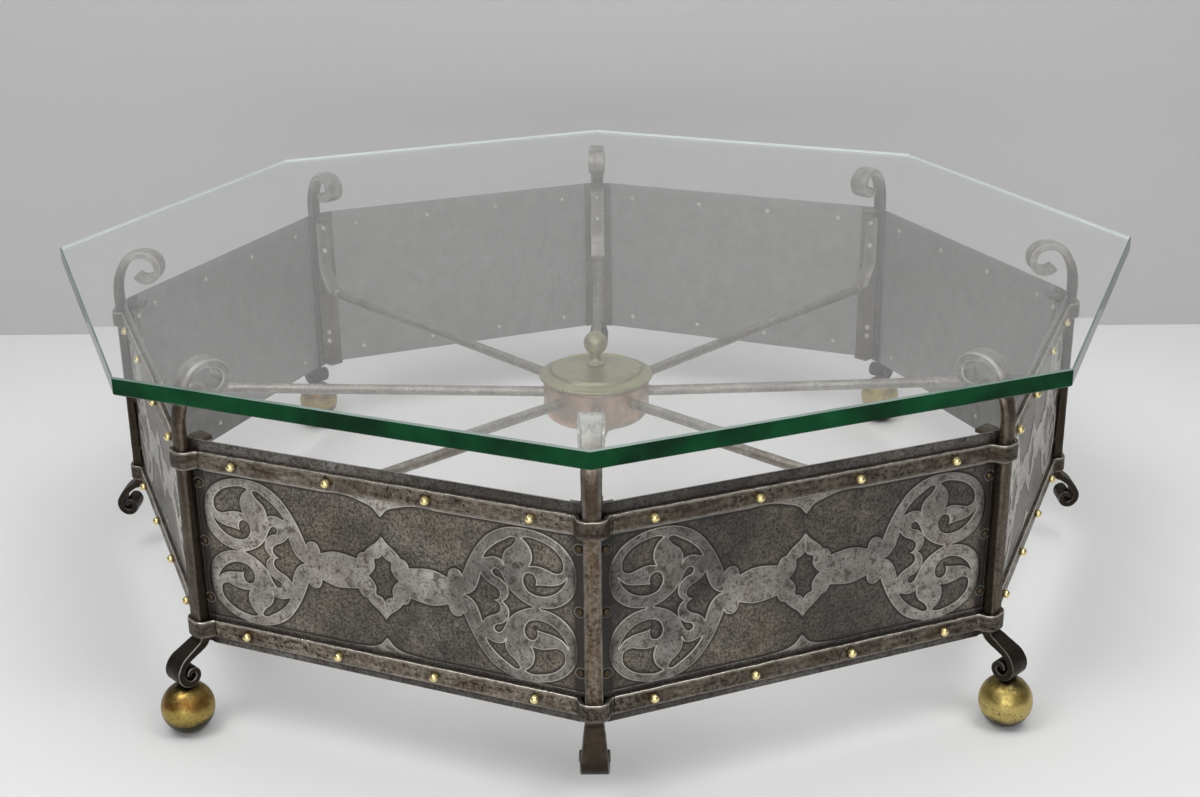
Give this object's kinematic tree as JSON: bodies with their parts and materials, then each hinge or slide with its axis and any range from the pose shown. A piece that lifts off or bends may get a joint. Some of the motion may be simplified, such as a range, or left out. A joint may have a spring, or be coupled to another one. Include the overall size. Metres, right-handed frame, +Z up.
{
  "type": "octagonal coffee table",
  "caption": "Low octagonal table: loose glass plate on scrolled forged posts, with etched panels between riveted rails, a spoked hub and ball feet.",
  "frame": {"origin": "on the floor under the middle of the table", "axes": "+Z up; -Y is the front, where one corner post faces the viewer"},
  "size_m": [1.3196, 1.3196, 0.4148],
  "materials": {
    "plate_glass": "polished, green edge",
    "forged_iron": "burnished brown-grey with rust",
    "etched_steel": "etched ground with burnished relief",
    "rivet_brass": "polished",
    "aged_brass": "aged, dark patina",
    "aged_copper": "aged copper",
    "plain_steel": "plain"
  },
  "bodies": {
    "base": {"ball_feet": "aged_brass", "ball_studs": "plain_steel", "bottom_rail_back_left": "forged_iron", "bottom_rail_back_right": "forged_iron", "bottom_rail_front_left": "forged_iron", "bottom_rail_front_right": "forged_iron", "bottom_rail_left_back": "forged_iron", "bottom_rail_left_front": "forged_iron", "bottom_rail_right_back": "forged_iron", "bottom_rail_right_front": "forged_iron", "corner_strap_back": "forged_iron", "corner_strap_back_left": "forged_iron", "corner_strap_back_right": "forged_iron", "corner_strap_front": "forged_iron", "corner_strap_front_left": "forged_iron", "corner_strap_front_right": "forged_iron", "corner_strap_left": "forged_iron", "corner_strap_right": "forged_iron", "hub_bottom_knob": "plain_steel", "hub_bowl": "aged_copper", "hub_core": "plain_steel", "hub_cover": "aged_brass", "hub_finial": "aged_brass", "hub_tie_rod": "plain_steel", "panel_back_left": "etched_steel", "panel_back_right": "etched_steel", "panel_edge_rivets": "rivet_brass", "panel_front_left": "etched_steel", "panel_front_right": "etched_steel", "panel_left_back": "etched_steel", "panel_left_front": "etched_steel", "panel_right_back": "etched_steel", "panel_right_front": "etched_steel", "post_back": "forged_iron", "post_back_left": "forged_iron", "post_back_right": "forged_iron", "post_front": "forged_iron", "post_front_left": "forged_iron", "post_front_right": "forged_iron", "post_left": "forged_iron", "post_right": "forged_iron", "post_rivets": "rivet_brass", "rail_rivets": "rivet_brass", "spoke_back": "forged_iron", "spoke_back_left": "forged_iron", "spoke_back_right": "forged_iron", "spoke_front": "forged_iron", "spoke_front_left": "forged_iron", "spoke_front_right": "forged_iron", "spoke_left": "forged_iron", "spoke_right": "forged_iron", "top_rail_back_left": "forged_iron", "top_rail_back_right": "forged_iron", "top_rail_front_left": "forged_iron", "top_rail_front_right": "forged_iron", "top_rail_left_back": "forged_iron", "top_rail_left_front": "forged_iron", "top_rail_right_back": "forged_iron", "top_rail_right_front": "forged_iron"},
    "glass": {"glass_top": "plate_glass"}
  },
  "joints": [
    {"name": "glass_lift", "type": "slide", "parent": "base", "child": "glass", "axis": [0, 0, 1], "range_m": [0, 0.15]}
  ]
}
